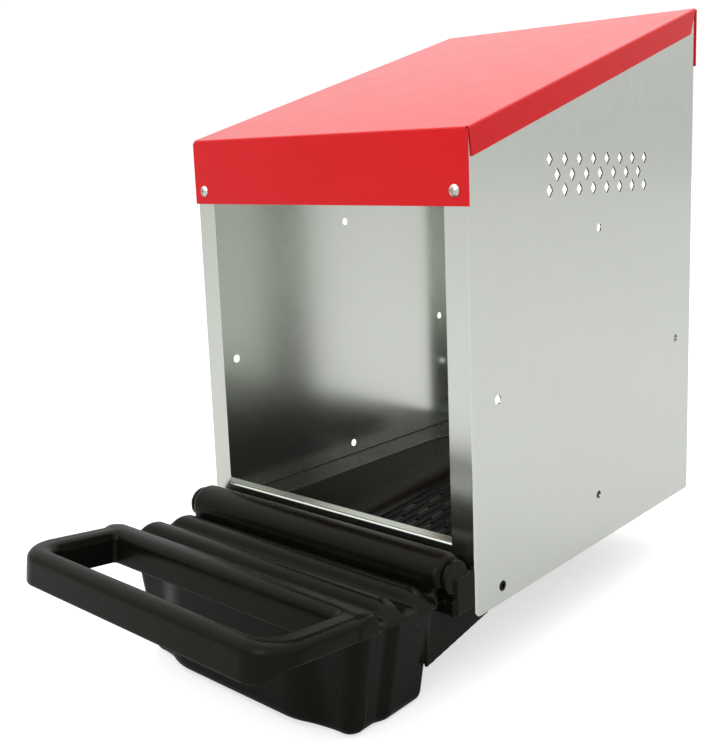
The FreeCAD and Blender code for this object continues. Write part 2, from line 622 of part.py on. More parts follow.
def loop(inset):
    """Perch loop in front of the plate, or its hollow when inset is the wall."""
    half, front, corner = COVER_HALF - inset, COVER_REACH - inset, COVER_CORNER - inset
    top = CREST - inset
    low = CREST - LOOP_DEPTH - inset
    outer = [(-half, -front), (half, -front), (half, -LOOP_START), (-half, -LOOP_START)]
    ring = prism("XY", outer, low, top, [corner, corner, 0, 0])
    hole, hole_radii = loop_hole(inset)
    ring = ring.cut(prism("XY", hole, low - PAST, top + PAST, hole_radii))
    # Only the front bar and the collar round the hole reach down to the full depth.
    step_rear, step_front = PAST - LOOP_START, PAST - COVER_REACH
    step = [
        (step_rear, low - PAST), (step_rear, SKIRT - inset), (-LOOP_DROP_START, SKIRT - inset),
        (step_front, low), (step_front, low - PAST),
    ]
    collar, collar_radii = loop_hole(WALL)
    beside_collar = prism("YZ", step, -FAR, FAR)
    beside_collar = beside_collar.cut(prism("XY", collar, low - 2 * PAST, top, collar_radii))
    ring = ring.cut(beside_collar)
    rounding = LOOP_ROUNDING - inset
    edges = [
        edge for edge in ring.Edges
        if edge.BoundBox.ZMin > top - 0.01 and edge.BoundBox.YMin < -LOOP_START - 0.01
        and edge.BoundBox.YMax < -LOOP_START + 0.01
    ]
    return ring.makeFillet(rounding, edges)


def perch_cover():
    """Hinged cover over the egg basin: barrel, ridged plate, skirts and perch loop."""
    barrel = rod(BARREL_RADIUS, V(-BARREL_HALF, 0, 0), V(BARREL_HALF, 0, 0))
    ends = [edge for edge in barrel.Edges if edge.Curve.TypeId == "Part::GeomCircle"]
    barrel = barrel.makeFillet(BARREL_END_ROUND, ends)
    beside_ears = block(BARREL_HALF, FAR, -SKIRT_START, FAR, -FAR, FAR)
    plate = ridged_plate(0.0).cut([beside_ears, mirrored(beside_ears)])
    solid = barrel.fuse([plate, loop(0.0)])

    end_wall = BARREL_HALF - BARREL_SIDE_WALL
    barrel_hollow = rod(BARREL_RADIUS - WALL, V(-end_wall, 0, 0), V(end_wall, 0, 0))
    plate_hollow = ridged_plate(WALL)
    behind_ears = block(BARREL_HALF - WALL, FAR, -SKIRT_START - WALL, FAR, -FAR, FAR)
    plate_hollow = plate_hollow.cut([behind_ears, mirrored(behind_ears)])
    under_barrel = block(-FAR, FAR, BARREL_OPENING_FRONT, FAR, -FAR, BARREL_OPENING_TOP)
    boss = rod(BOSS_RADIUS, V(BOSS_INNER, 0, 0), V(BARREL_HALF, 0, 0))
    bore_end = V(BARREL_HALF + PAST, 0, 0)
    bore = rod(PIN_RADIUS + PIN_CLEARANCE, V(PIN_INNER - PIN_CLEARANCE, 0, 0), bore_end)
    solid = solid.cut([barrel_hollow, plate_hollow, loop(WALL), under_barrel])
    solid = solid.fuse([boss, mirrored(boss)]).cut([bore, mirrored(bore)])
    return tilted(solid.removeSplitter())


def nest_mat():
    """Ribbed mat with slots, lying on the nest floor."""
    outline = [(-MAT_HALF, MAT_FRONT), (MAT_HALF, MAT_FRONT), (MAT_HALF, MAT_REAR), (-MAT_HALF, MAT_REAR)]
    corners = [MAT_FRONT_CORNER, MAT_FRONT_CORNER, MAT_REAR_CORNER, MAT_REAR_CORNER]
    mat = prism("XY", outline, 0, MAT_THICKNESS, corners)
    slots = []
    half_width, half_length = SLOT_WIDTH / 2, SLOT_LENGTH / 2
    slot_round = half_width - FIT_GAP
    for row in range(SLOT_ROWS):
        y = SLOT_START + row * SLOT_PITCH_Y
        shift = (row % 2) / 2
        for column in range(-SLOT_SIDE_COUNT, SLOT_SIDE_COUNT + 1 - row % 2):
            x = (column + shift) * SLOT_PITCH_X
            slot = [
                (x - half_width, y - half_length), (x + half_width, y - half_length),
                (x + half_width, y + half_length), (x - half_width, y + half_length),
            ]
            slots.append(prism("XY", slot, -PAST, MAT_THICKNESS + PAST, slot_round))
    mat = mat.cut(slots)
    slope = math.degrees(math.atan(FLOOR_SLOPE))
    mat = mat.rotated(V(0, MAT_FRONT, 0), V(1, 0, 0), slope)
    return mat.translated(V(0, 0, floor_height(MAT_FRONT) + FIT_GAP))


right_panel = side_panel()
right_pin = hinge_pin()
right_peg = tray_peg()
cover = perch_cover()
front_nut_y = SHEET
rear_nut_y = SIDE_DEPTH - SHEET

nodes = {
    "side_panel_right": right_panel,
    "side_panel_left": mirrored(right_panel),
    "back_panel": back_panel(),
    "front_sill": front_sill(),
    "roof": roof(),
    "base_tray": base_tray(),
    "nest_mat": nest_mat(),
    "perch_cover": cover,
    "hinge_pin_right": right_pin,
    "hinge_pin_left": mirrored(right_pin),
    "tray_peg_right": right_peg,
    "tray_peg_left": mirrored(right_peg),
}
for name, side in (("left", -1), ("right", 1)):
    x = side * SCREW_X
    nodes["roof_screw_front_" + name] = screw(x, ROOF_FRONT, SCREW_FRONT_Z, 1)
    nodes["roof_screw_rear_" + name] = screw(x, ROOF_REAR, SCREW_REAR_Z, -1)
    nodes["speed_nut_front_" + name] = speed_nut(x, front_nut_y, SCREW_FRONT_Z, 1)
    nodes["speed_nut_rear_" + name] = speed_nut(x, rear_nut_y, SCREW_REAR_Z, -1)
    nodes["back_rivets_" + name] = back_rivets(side)

# The part's origin is the centre of the wall fixing holes on the outer face of the back panel.
origin = V(0, BOX_DEPTH, WALL_CENTRE_Z)
for name, shape in nodes.items():
    placed = shape.translated(-origin)
    placed.exportStep(os.path.join("parts", name + ".step"))
    print(name, placed.isValid(), len(placed.Solids), round(placed.Volume))
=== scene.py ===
import itertools
import json
import math

import bpy
import numpy as np
from mathutils import Matrix, Vector


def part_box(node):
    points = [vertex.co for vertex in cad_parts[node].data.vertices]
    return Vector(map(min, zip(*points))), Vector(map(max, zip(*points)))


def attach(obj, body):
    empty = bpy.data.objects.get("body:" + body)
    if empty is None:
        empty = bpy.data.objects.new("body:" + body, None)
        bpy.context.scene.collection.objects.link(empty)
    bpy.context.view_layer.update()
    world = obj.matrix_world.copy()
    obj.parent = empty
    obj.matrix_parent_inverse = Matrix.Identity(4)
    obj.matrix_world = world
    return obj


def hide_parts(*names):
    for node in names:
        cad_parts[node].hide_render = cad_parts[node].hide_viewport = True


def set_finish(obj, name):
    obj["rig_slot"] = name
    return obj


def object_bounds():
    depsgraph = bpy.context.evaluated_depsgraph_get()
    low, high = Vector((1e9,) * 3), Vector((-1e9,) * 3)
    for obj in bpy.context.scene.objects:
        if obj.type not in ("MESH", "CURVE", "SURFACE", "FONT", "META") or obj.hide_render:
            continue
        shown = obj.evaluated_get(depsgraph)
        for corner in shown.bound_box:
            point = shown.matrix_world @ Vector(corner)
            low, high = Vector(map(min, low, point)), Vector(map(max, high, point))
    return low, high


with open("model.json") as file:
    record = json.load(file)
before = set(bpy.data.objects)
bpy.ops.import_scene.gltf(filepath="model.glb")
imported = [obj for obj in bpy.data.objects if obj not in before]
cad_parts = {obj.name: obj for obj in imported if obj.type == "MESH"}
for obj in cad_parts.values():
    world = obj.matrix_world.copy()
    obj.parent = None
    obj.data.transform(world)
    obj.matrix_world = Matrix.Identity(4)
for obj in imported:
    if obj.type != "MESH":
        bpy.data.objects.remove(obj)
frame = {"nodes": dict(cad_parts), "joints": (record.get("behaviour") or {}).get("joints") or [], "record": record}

cad_low, cad_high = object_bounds()

# ---------------------------------------------------------------------------------------------
# Reference places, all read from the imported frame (metres)
# ---------------------------------------------------------------------------------------------
MM = 0.001
HINGE = Vector(frame["joints"][0]["pos_m"])
PANEL_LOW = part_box("side_panel_right")[0]
BOX_ORIGIN = Vector((0.0, PANEL_LOW.y, PANEL_LOW.z))

# ---------------------------------------------------------------------------------------------
# Moulded shapes are signed distance fields in millimetres (negative inside). Their surfaces are
# meshed by surface nets, so that every corner of the moulding is a real rounded corner.
# ---------------------------------------------------------------------------------------------
COVER_PITCH = 1.25
TRAY_PITCH = 1.5
MAT_PITCH = 1.0
PROJECT_STEPS = 3
NORMAL_STEP = 0.3
CUBOID_EDGE = 0.8
CELL_CORNERS = list(itertools.product((0, 1), repeat=3))


def smooth_min(a, b, k):
    """Union of two fields with a fillet that reaches about k along each surface."""
    h = np.maximum(k - np.abs(a - b), 0) / k
    return np.minimum(a, b) - h * h * k / 4


def smooth_max(a, b, k):
    """Intersection of two fields with a rounded edge that reaches about k along each surface."""
    h = np.maximum(k - np.abs(a - b), 0) / k
    return np.maximum(a, b) + h * h * k / 4


def rounded(p, q, radius):
    """Convex corner between two perpendicular fields, with a true radius."""
    a, b = p + radius, q + radius
    return np.minimum(np.maximum(a, b), 0) + np.hypot(np.maximum(a, 0), np.maximum(b, 0)) - radius


def span(value, low, high):
    """Field of the slab between two limits."""
    return np.abs(value - (low + high) / 2) - (high - low) / 2


def cuboid(x, y, z, x0, x1, y0, y1, z0, z1, radius=CUBOID_EDGE):
    """Box between two corners with rounded edges."""
    a = span(x, x0, x1) + radius
    b = span(y, y0, y1) + radius
    c = span(z, z0, z1) + radius
    outside = np.sqrt(np.maximum(a, 0) ** 2 + np.maximum(b, 0) ** 2 + np.maximum(c, 0) ** 2)
    return np.minimum(np.maximum(np.maximum(a, b), c), 0) + outside - radius


def off_nearest(value, pitch):
    """Distance to the nearest whole number of pitches."""
    return np.abs((value + pitch / 2) % pitch - pitch / 2)


def smoothstep(value, start, end):
    """0 before start, 1 after end, and a smooth rise between."""
    t = np.clip((value - start) / (end - start), 0, 1)
    return t * t * (3 - 2 * t)


def gradient(field, points):
    """Unit normals of a field at an array of points."""
    columns = []
    for axis in range(3):
        step = np.zeros(3)
        step[axis] = NORMAL_STEP
        ahead, behind = points + step, points - step
        columns.append(field(*ahead.T) - field(*behind.T))
    normals = np.stack(columns, axis=1)
    return normals / np.maximum(np.linalg.norm(normals, axis=1, keepdims=True), 1e-9)


def crossed_cells(inside):
    """Indices of the grid cells that the surface passes through."""
    shape = tuple(n - 1 for n in inside.shape)
    any_in = np.zeros(shape, bool)
    all_in = np.ones(shape, bool)
    for corner in CELL_CORNERS:
        window = tuple(slice(o, o + n) for o, n in zip(corner, shape))
        any_in |= inside[window]
        all_in &= inside[window]
    return np.argwhere(any_in & ~all_in)


def mean_crossing(values, cells):
    """Mean place of the surface's crossings with the edges of each cell, in steps of the grid."""
    samples = [values[tuple((cells + corner).T)] for corner in CELL_CORNERS]
    total = np.zeros((len(cells), 3))
    count = np.zeros(len(cells))
    for a, b in itertools.combinations(range(len(CELL_CORNERS)), 2):
        first, second = np.array(CELL_CORNERS[a]), np.array(CELL_CORNERS[b])
        if np.abs(first - second).sum() != 1:
            continue
        crossed = (samples[a] < 0) != (samples[b] < 0)
        share = np.where(crossed, samples[a] / np.where(crossed, samples[a] - samples[b], 1), 0)
        total += (first + share[:, None] * (second - first)) * crossed[:, None]
        count += crossed
    return cells + total / count[:, None]


def net_quads(inside, number):
    """One quad for each grid edge that the surface crosses, facing outwards."""
    quads = []
    for axis in range(3):
        second, third = (axis + 1) % 3, (axis + 2) % 3
        near = tuple(slice(0, -1) if i == axis else slice(1, -1) for i in range(3))
        far = tuple(slice(1, None) if i == axis else slice(1, -1) for i in range(3))
        for outward in (True, False):
            hit = inside[near] & ~inside[far] if outward else ~inside[near] & inside[far]
            edges = np.argwhere(hit)
            edges[:, second] += 1
            edges[:, third] += 1
            ring = []
            for back_second, back_third in ((1, 1), (0, 1), (0, 0), (1, 0)):
                cell = edges.copy()
                cell[:, second] -= back_second
                cell[:, third] -= back_third
                ring.append(number[tuple(cell.T)])
            ring = np.stack(ring, axis=1)
            quads.append(ring if outward else ring[:, ::-1])
    return np.concatenate(quads)


def surface_nets(field, low, high, pitch):
    """Points, quads and normals of the surface field = 0 inside the box low to high."""
    axes = [np.arange(a - 2 * pitch, b + 3 * pitch, pitch) for a, b in zip(low, high)]
    values = np.broadcast_to(field(*np.ix_(*axes)), [len(a) for a in axes])
    inside = values < 0
    cells = crossed_cells(inside)
    number = np.full([n - 1 for n in inside.shape], -1, np.int32)
    number[tuple(cells.T)] = np.arange(len(cells))

    start = np.array([a[0] for a in axes])
    points = start + mean_crossing(values, cells) * pitch
    for _ in range(PROJECT_STEPS):
        move = field(*points.T)[:, None] * gradient(field, points)
        points -= np.clip(move, -pitch / 3, pitch / 3)
    return points, net_quads(inside, number), gradient(field, points)


def moulding(name, field, low, high, pitch, place):
    """Object with the surface of a field; place turns its millimetres into the row frame."""
    points, quads, normals = surface_nets(field, low, high, pitch)
    mesh = bpy.data.meshes.new(name)
    mesh.from_pydata(points, [], quads, shade_flat=False)
    mesh.normals_split_custom_set_from_vertices(normals)
    mesh.transform(place)
    obj = bpy.data.objects.new(name, mesh)
    bpy.context.scene.collection.objects.link(obj)
    return obj


# ---------------------------------------------------------------------------------------------
# Perch cover, in its own frame: x across, f forward of the hinge axis, u above it
# ---------------------------------------------------------------------------------------------
COVER_TILT = math.radians(6.75)
COVER_WALL = 2.5
COVER_HALF = 148.0
BARREL_RADIUS = 16.5
BARREL_HALF = 142.0
BARREL_ROUND = 7.0
BARREL_WALL_FRONT = 16.2
BARREL_WALL_TOP = -2.0
BARREL_WALL_ROUND = 2.0
BARREL_WALL_FILLET = 4.0
COVER_FILLET = 3.0
COVER_CUT_EDGE = 1.0
COVER_BOTTOM_EDGE = 1.2
CREST = -3.9
VALLEY = -13.4
SKIRT = -18.5
SKIRT_START = 17.0
PLATE_START = 12.0
PLATE_END = 103.0
RIDGE_FIRST = 30.5
RIDGE_PITCH = 31.75
RIDGE_COUNT = 3
RIDGE_HALF = 8.8
RIDGE_ROUND = 7.6
RIDGE_FILLET = 6.0
FLANK = 129.0
FLANK_ROUND = 5.0
FLANK_END = (78.0, 92.0)
FLANK_FADE = 24.0
LOOP_START = 86.0
LOOP_END = 180.0
LOOP_CORNER = 30.0
LOOP_ROUND = 8.3
LOOP_DEPTH = 26.0
LOOP_DROP_START = 158.0
COLLAR_REACH = 4.0
HOLE_HALF = 125.0
HOLE_FRONT = 163.0
HOLE_FRONT_CORNER = 13.0
HOLE_REAR_CORNER = 4.0
UNDER_BARREL_TOP = -7.0
UNDER_BARREL_FRONT = 13.0
TRAY_CLEARANCE_HALF = 139.5
TRAY_CLEARANCE_TOP = -16.2
BOSS_RADIUS = 8.0
BOSS_INNER = 132.0
BOSS_SETBACK = 1.0
BOSS_FILLET = 1.5
BORE_RADIUS = 4.1


def loop_hole(side, f):
    """Field of the hole in the perch loop, negative inside the hole."""
    middle = (PLATE_END + HOLE_FRONT) / 2
    corner = np.where(f > middle, HOLE_FRONT_CORNER, HOLE_REAR_CORNER)
    return rounded(side - HOLE_HALF, np.abs(f - middle) - (HOLE_FRONT - middle), corner)


def cover_form(x, f, u):
    """Outer form of the cover, open downwards without end."""
    side = np.abs(x)
    barrel = rounded(np.hypot(f, u) - BARREL_RADIUS, side - BARREL_HALF, BARREL_ROUND)

    plate = u - VALLEY
    for index in range(RIDGE_COUNT):
        away = np.abs(f - RIDGE_FIRST - index * RIDGE_PITCH)
        plate = smooth_min(plate, rounded(away - RIDGE_HALF, u - CREST, RIDGE_ROUND), RIDGE_FILLET)
    barrel_wall = rounded(f - BARREL_WALL_FRONT, u - BARREL_WALL_TOP, BARREL_WALL_ROUND)
    plate = smooth_min(plate, barrel_wall, BARREL_WALL_FILLET)
    plate = smooth_max(plate, side - COVER_HALF, COVER_FILLET)
    plate = np.maximum(plate, PLATE_START - f)
    plate = smooth_max(plate, f - PLATE_END, COVER_FILLET)
    beside_ear = np.maximum(BARREL_HALF - side, f - SKIRT_START)
    plate = smooth_max(plate, -beside_ear, COVER_FILLET)

    middle = (LOOP_START - LOOP_CORNER + LOOP_END) / 2
    outline = rounded(side - COVER_HALF, np.abs(f - middle) - (LOOP_END - middle), LOOP_CORNER)
    ring = rounded(np.maximum(outline, -loop_hole(side, f)), u - CREST, LOOP_ROUND)
    plate = smooth_min(plate, np.maximum(ring, LOOP_START - f), COVER_FILLET)

    # The ends of the ridges behind the loop slope down to the skirt.
    flank = side + u - FLANK - FLANK_FADE * smoothstep(f, *FLANK_END)
    plate = smooth_max(plate, flank / math.sqrt(2), FLANK_ROUND)
    return smooth_min(barrel, plate, COVER_FILLET)


def cover_field(x, f, u):
    """The cover as a shell of even wall thickness with its hinge bosses."""
    side = np.abs(x)
    form = cover_form(x, f, u)
    shell = smooth_max(form, -(form + COVER_WALL), COVER_CUT_EDGE)
    drop = np.where(loop_hole(side, f) < COLLAR_REACH, 1.0, smoothstep(f, LOOP_DROP_START, LOOP_END))
    bottom = SKIRT - (LOOP_DEPTH + SKIRT - CREST) * drop
    shell = smooth_max(shell, bottom - u, COVER_BOTTOM_EDGE)
    under_barrel = np.maximum(f - UNDER_BARREL_FRONT, u - UNDER_BARREL_TOP)
    shell = smooth_max(shell, -under_barrel, COVER_CUT_EDGE)
    over_tray = np.maximum(side - TRAY_CLEARANCE_HALF, u - TRAY_CLEARANCE_TOP)
    over_tray = np.maximum(over_tray, f - PLATE_END + COVER_WALL)
    shell = smooth_max(shell, -over_tray, COVER_CUT_EDGE)
    radial = np.hypot(f, u)
    boss_length = span(side, BOSS_INNER, BARREL_HALF - BOSS_SETBACK)
    boss = rounded(radial - BOSS_RADIUS, boss_length, COVER_CUT_EDGE)
    shell = smooth_min(shell, boss, BOSS_FILLET)
    bore = np.maximum(radial - BORE_RADIUS, BOSS_INNER - BOSS_SETBACK - side)
    return np.maximum(shell, -bore)


def cover_to_row():
    """Matrix from the cover's frame (x, f, u) in millimetres to the row frame in metres."""
    forward = Vector((0, -math.cos(COVER_TILT), math.sin(COVER_TILT)))
    upward = Vector((0, math.sin(COVER_TILT), math.cos(COVER_TILT)))
    turn = Matrix((Vector((1, 0, 0)), forward, upward)).transposed().to_4x4()
    return Matrix.Translation(HINGE) @ turn @ Matrix.Scale(MM, 4)


def make_cover():
    """Detailed perch cover in place of the plain CAD one."""
    low = (-COVER_HALF, -BARREL_RADIUS, CREST - LOOP_DEPTH)
    high = (COVER_HALF, LOOP_END, BARREL_RADIUS)
    # The frame (x, f, u) is left-handed, so the mesh is built as (x, -f, u).
    place = cover_to_row() @ Matrix.Diagonal((1, -1, 1, 1))
    cover = moulding(
        "perch_cover_moulding", lambda x, y, u: cover_field(x, -y, u),
        (low[0], -high[1], low[2]), (high[0], -low[1], high[2]), COVER_PITCH, place,
    )
    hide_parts("perch_cover")
    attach(cover, "perch_cover")
    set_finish(cover, "black_plastic")
    return cover


# ---------------------------------------------------------------------------------------------
# Base tray and nest mat, in millimetres from the housing's front lower edge on the centre plane
# ---------------------------------------------------------------------------------------------
TRAY_WALL = 2.6
TRAY_HALF = 147.5
TRAY_RIM = 32.0
TRAY_REAR = 366.0
TRAY_FRONT = 1.5
TRAY_FOOT = 1.3
PLATE = 3.0
PLATE_EDGE = 1.0
PLATE_FILLET = 1.5
PAST_CENTRE = -9.0
STEP_DEPTH = 14.0
RIM_RISE = -17.0
RIM_SLAB_TOP = 60.0
RIM_HALF = 139.0
RIM_FRONT = 99.0
RIM_BACK = -19.0
SKIRT_ROOM_HALF = 143.3
SKIRT_ROOM_RISE = -22.5
SKIRT_ROOM_BACK = 13.0
BASIN_TOP_Z = 34.0
BASIN_FLOOR_Z = -62.0
BASIN_TOP = (133.0, -108.0, -31.0, 14.0)
BASIN_FLOOR = (116.0, -103.0, -31.0, 12.0)
BASIN_REAR_CORNER = 5.0
BASIN_FLOOR_ROUND = 10.0
BASIN_TO_BOWL_FILLET = 7.0
FORM_TO_PLATE_FILLET = 2.5
BULGE_HALF = 70.0
BULGE_FRONT = -113.0
BULGE_REAR = -94.0
BULGE_SLANT = 2.1
BULGE_ROUND = 6.0
BULGE_FILLET = 4.0
BULGE_FLOOR_Z = -60.5
SIDE_BULGE = 4.0
SIDE_BULGE_FRONT = (-80.0, -68.0)
BOWL_FLOOR = (78.0, 290.0, 50.0)
BOWL_TOP = (117.0, 335.0, 70.0)
BOWL_FRONT = -58.0
BOWL_ROUND = 16.0
BOWL_DEPTH = 56.0
BOWL_TAPER_LIMITS = (-0.2, 1.3)
RAMP_FRONT_Y = -47.0
RAMP_FRONT_Z = -22.0
RAMP_SLOPE = 0.08
APRON_FRONT = -24.0
APRON_STEP = 4.0
CHEEK_OUTER = 130.0
CHEEK_FRONT = (-35.5, -31.0)
CHEEK_REAR = (43.0, -17.5)
CHEEK_EDGE = 1.5
EAR_INNER = 142.6
EAR_OUTER = 147.0
EAR_RADIUS = 13.0
EAR_FRONT = -22.0
EAR_REAR = -0.6
EAR_LOW = 9.5
EAR_HIGH = 37.0
EAR_BLOCK_OUTER = 149.4
EAR_FILLET = 1.2
PEG_Y = 34.5
PEG_Z = 13.3
PEG_RADIUS = 4.1
PEG_INNER = 100.0
PEG_BOSS_RADIUS = 8.0
PEG_BOSS_INNER = 136.0
PEG_BOSS_EDGE = 0.6
PIN_RADIUS = 4.0
PIN_OUTER = 145.5
MAT_HALF = 74.0
MAT_FRONT = 62.0
MAT_REAR = 262.0
MAT_THICKNESS = 4.0
MAT_FRONT_CORNER = 14.0
MAT_REAR_CORNER = 45.0
MAT_GAP = 0.1
MAT_EDGE = 0.7
RIB_PITCH = 9.0
RIB_HALF = 1.3
RIB_MARGIN = 3.0
RIB_FOOT = 0.5
RIB_RISE = 1.2
RIB_EDGE = 0.6
RIB_FILLET = 0.8
SLOT_PITCH_X = 18.0
SLOT_PITCH_Y = 30.0
SLOT_FIRST_Y = 40.0
SLOT_HALF_X = 2.0
SLOT_HALF_Y = 10.0
SLOT_MARGIN = 12.0
SLOT_EDGE = 0.6

HINGE_Y = (HINGE.y - BOX_ORIGIN.y) / MM
HINGE_Z = (HINGE.z - BOX_ORIGIN.z) / MM
BOX_TO_ROW = Matrix.Translation(BOX_ORIGIN) @ Matrix.Scale(MM, 4)


def ramp_height(y):
    """Height of the sloping nest floor."""
    return RAMP_FRONT_Z + RAMP_SLOPE * (y - RAMP_FRONT_Y)


def reach_and_rise(y, z):
    """Forward reach and rise of a point in the tilted frame of the hinge."""
    dy, dz = y - HINGE_Y, z - HINGE_Z
    cosine, sine = math.cos(COVER_TILT), math.sin(COVER_TILT)
    return dz * sine - dy * cosine, dy * sine + dz * cosine


def basin_form(x, y, z):
    """Egg basin: tapered tub whose front and side walls stand proud between its corners."""
    t = (z - BASIN_FLOOR_Z) / (BASIN_TOP_Z - BASIN_FLOOR_Z)
    half, front, rear, corner = (a + (b - a) * t for a, b in zip(BASIN_FLOOR, BASIN_TOP))
    half = half + SIDE_BULGE * smoothstep(y, *SIDE_BULGE_FRONT)
    middle = (front + rear) / 2
    corner = np.where(y < middle, corner, BASIN_REAR_CORNER)
    plan = rounded(np.abs(x) - half, np.abs(y - middle) - (rear - front) / 2, corner)
    tub = smooth_max(plan, BASIN_FLOOR_Z - z, BASIN_FLOOR_ROUND)
    ahead = BULGE_FRONT - y
    slanted = (np.abs(x) - BULGE_HALF + BULGE_SLANT * ahead) / math.hypot(1.0, BULGE_SLANT)
    bulge = np.maximum(smooth_max(ahead, slanted, BULGE_ROUND), y - BULGE_REAR)
    bulge = smooth_max(bulge, BULGE_FLOOR_Z - z, BASIN_FLOOR_ROUND)
    return smooth_min(tub, bulge, BULGE_FILLET)


def bowl_form(x, y, z):
    """Nest bowl and egg ramp, running out into the basin."""
    floor = ramp_height(y)
    t = np.clip((z - floor) / (BASIN_TOP_Z - floor), *BOWL_TAPER_LIMITS)
    half, rear, corner = (a + (b - a) * t for a, b in zip(BOWL_FLOOR, BOWL_TOP))
    plan = rounded(np.abs(x) - half, y - rear, corner)
    wall_lean = math.atan((BOWL_TOP[0] - BOWL_FLOOR[0]) / BOWL_DEPTH)
    plan = np.maximum(plan * math.cos(wall_lean), BOWL_FRONT - y)
    return smooth_max(plan, floor - z, BOWL_ROUND)


def tray_plates(x, y, z, reach, rise):
    """Rim, aprons and walls that carry the bowl and the basin."""
    side = np.abs(x)
    plates = cuboid(
        side, reach, rise, -PLATE_EDGE, RIM_HALF, RIM_BACK, RIM_FRONT,
        RIM_RISE - PLATE, RIM_SLAB_TOP, PLATE_EDGE,
    )
    deck = cuboid(
        side, y, z, PAST_CENTRE, TRAY_HALF, TRAY_FRONT, TRAY_REAR,
        TRAY_RIM - PLATE, TRAY_RIM, PLATE_EDGE,
    )
    lowest = np.where(y > APRON_STEP, TRAY_FOOT, EAR_LOW)
    apron = rounded(
        span(side, TRAY_HALF - PLATE, TRAY_HALF), span(y, APRON_FRONT, TRAY_REAR), PLATE_EDGE
    )
    apron = smooth_max(np.maximum(apron, z - TRAY_RIM), lowest - z, PLATE_EDGE)
    rear_wall = cuboid(
        side, y, z, PAST_CENTRE, TRAY_HALF, TRAY_REAR - PLATE, TRAY_REAR, TRAY_FOOT, TRAY_RIM
    )
    step_wall = cuboid(
        side, y, z, PAST_CENTRE, TRAY_HALF, TRAY_FRONT, TRAY_FRONT + PLATE,
        TRAY_RIM - STEP_DEPTH, TRAY_RIM,
    )
    web = cuboid(
        side, y, z, CHEEK_OUTER - PLATE, TRAY_HALF, APRON_FRONT, APRON_FRONT + PLATE, EAR_LOW, TRAY_RIM
    )
    slope = (CHEEK_REAR[1] - CHEEK_FRONT[1]) / (CHEEK_REAR[0] - CHEEK_FRONT[0])
    cheek = rounded(
        span(side, CHEEK_OUTER - PLATE, CHEEK_OUTER), span(y, CHEEK_FRONT[0], CHEEK_REAR[0]), PLATE_EDGE
    )
    under = (CHEEK_FRONT[1] + slope * (y - CHEEK_FRONT[0]) - z) / math.hypot(1.0, slope)
    cheek = smooth_max(np.maximum(cheek, z - TRAY_RIM), under, CHEEK_EDGE)
    for plate in (deck, apron, rear_wall, step_wall, web, cheek):
        plates = smooth_min(plates, plate, PLATE_FILLET)
    return plates


def ear(x, y, z):
    """Hinge ear, its block and the boss behind the peg, on both sides."""
    side = np.abs(x)
    radial = np.hypot(y - HINGE_Y, z - HINGE_Z)
    disc = rounded(radial - EAR_RADIUS, span(side, EAR_INNER, EAR_OUTER), CUBOID_EDGE)
    block = cuboid(
        side, y, z, TRAY_HALF - PLATE, EAR_BLOCK_OUTER, EAR_FRONT, EAR_REAR, EAR_LOW, EAR_HIGH, PLATE_EDGE
    )
    strut = cuboid(side, y, z, EAR_INNER, EAR_OUTER, EAR_FRONT, EAR_REAR, EAR_LOW, HINGE_Z, PLATE_EDGE)
    from_peg = np.hypot(y - PEG_Y, z - PEG_Z)
    shape = rounded(from_peg - PEG_BOSS_RADIUS, span(side, PEG_BOSS_INNER, TRAY_HALF), PEG_BOSS_EDGE)
    for part in (disc, block, strut):
        shape = smooth_min(shape, part, EAR_FILLET)
    pin = np.maximum(radial - PIN_RADIUS, side - PIN_OUTER)
    return np.maximum(shape, -pin)


def tray_field(x, y, z):
    """The moulded tray."""
    side = np.abs(x)
    reach, rise = reach_and_rise(y, z)
    form = smooth_min(basin_form(x, y, z), bowl_form(x, y, z), BASIN_TO_BOWL_FILLET)
    solid = smooth_min(form, tray_plates(x, y, z, reach, rise), FORM_TO_PLATE_FILLET)
    shell = smooth_max(solid, -(form + TRAY_WALL), PLATE_FILLET)
    above_front = np.maximum(RIM_RISE - rise, y - TRAY_FRONT)
    above_rear = np.maximum(TRAY_RIM - z, TRAY_FRONT - PLATE_EDGE - y)
    skirt_room = np.maximum(SKIRT_ROOM_HALF - side, SKIRT_ROOM_RISE - rise)
    skirt_room = np.maximum(skirt_room, SKIRT_ROOM_BACK - reach)
    for room in (above_front, above_rear, skirt_room):
        shell = smooth_max(shell, -room, PLATE_EDGE)
    shell = smooth_min(shell, ear(x, y, z), EAR_FILLET)
    peg = np.maximum(np.hypot(y - PEG_Y, z - PEG_Z) - PEG_RADIUS, PEG_INNER - side)
    return np.maximum(shell, -peg)


def make_tray():
    """Detailed base tray in place of the plain CAD one."""
    low = (-EAR_BLOCK_OUTER, BULGE_FRONT, BASIN_FLOOR_Z)
    high = (EAR_BLOCK_OUTER, TRAY_REAR, HINGE_Z + EAR_RADIUS)
    tray = moulding("base_tray_moulding", tray_field, low, high, TRAY_PITCH, BOX_TO_ROW)
    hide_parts("base_tray")
    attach(tray, "nest_box")
    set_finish(tray, "black_plastic")
    return tray


